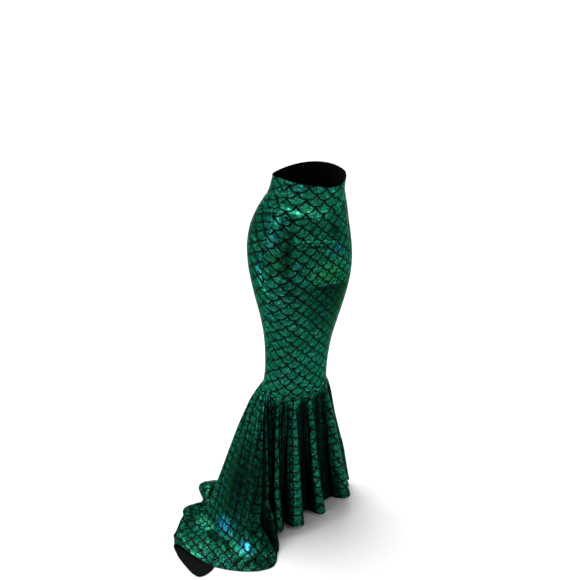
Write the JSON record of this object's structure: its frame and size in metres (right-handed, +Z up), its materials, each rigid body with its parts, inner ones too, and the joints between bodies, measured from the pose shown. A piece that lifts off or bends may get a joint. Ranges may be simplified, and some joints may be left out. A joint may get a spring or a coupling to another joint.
{
  "type": "mermaid fishtail skirt",
  "caption": "Close-fitting mermaid skirt with a wide waistband, shaped body panels and a fishtail flounce that falls in soft folds to a swept train.",
  "frame": {"origin": "centre of the waist opening, level with the top edge of the waistband at the back", "axes": "+Z up out of the waist, -Y to the front of the skirt, +X to the wearer's left; the floor the train lies on is at Z = -1.090 m"},
  "size_m": [0.6068, 0.4273, 1.1093],
  "materials": {
    "scale_fabric": "stretch jersey with a metallic green foil face, a black fish scale print and a matte black reverse"
  },
  "bodies": {
    "root": {"waistband_front": "scale_fabric", "waistband_back": "scale_fabric", "panel_front": "scale_fabric", "panel_back": "scale_fabric", "flounce_front": "scale_fabric", "flounce_back": "scale_fabric"}
  },
  "joints": []
}
